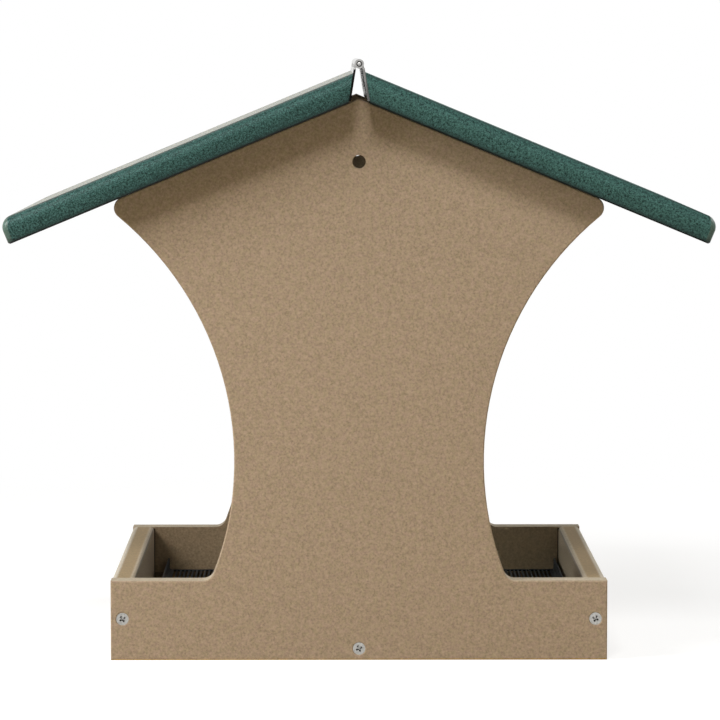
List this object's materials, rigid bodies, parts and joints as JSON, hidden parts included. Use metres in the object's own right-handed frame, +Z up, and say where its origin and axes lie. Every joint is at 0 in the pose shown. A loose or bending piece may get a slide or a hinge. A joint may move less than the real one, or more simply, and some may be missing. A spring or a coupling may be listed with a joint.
{
  "type": "hopper bird feeder",
  "caption": "Hopper bird feeder with gabled end panels, an open seed tray with a screen floor, clear hopper windows and a pitched roof whose one half hinges up for filling.",
  "frame": {"origin": "on the ground under the middle of the feeder", "axes": "+X across the gable ends towards the hinged half of the roof, +Y along the ridge from the front end to the rear end, +Z up"},
  "size_m": [0.4754, 0.3556, 0.4056],
  "materials": {
    "taupe_board": "fine mottled grain, satin",
    "green_board": "speckled grain, satin",
    "black_screen": "matt black, perforated",
    "clear_window": "clear sheet",
    "hinge_steel": "rolled stainless",
    "screw_steel": "satin stainless"
  },
  "bodies": {
    "feeder": {"front_end_panel": "taupe_board", "rear_end_panel": "taupe_board", "left_tray_board": "taupe_board", "right_tray_board": "taupe_board", "floor_rail": "taupe_board", "floor_screen": "black_screen", "left_window": "clear_window", "right_window": "clear_window", "fixed_roof_board": "green_board", "fixed_hinge_leaf": "hinge_steel", "hinge_pin": "hinge_steel", "fixed_leaf_screws": "screw_steel", "front_tray_screws": "screw_steel", "rear_tray_screws": "screw_steel", "rail_screws": "screw_steel", "front_roof_screws": "screw_steel", "rear_roof_screws": "screw_steel"},
    "lid": {"lid_roof_board": "green_board", "lid_hinge_leaf": "hinge_steel", "lid_leaf_screws": "screw_steel"}
  },
  "joints": [
    {"name": "lid_hinge", "type": "hinge", "parent": "feeder", "child": "lid", "pos_m": [0, 0, 0.40244], "axis": [0, -1, 0], "range_deg": [0, 225]}
  ]
}
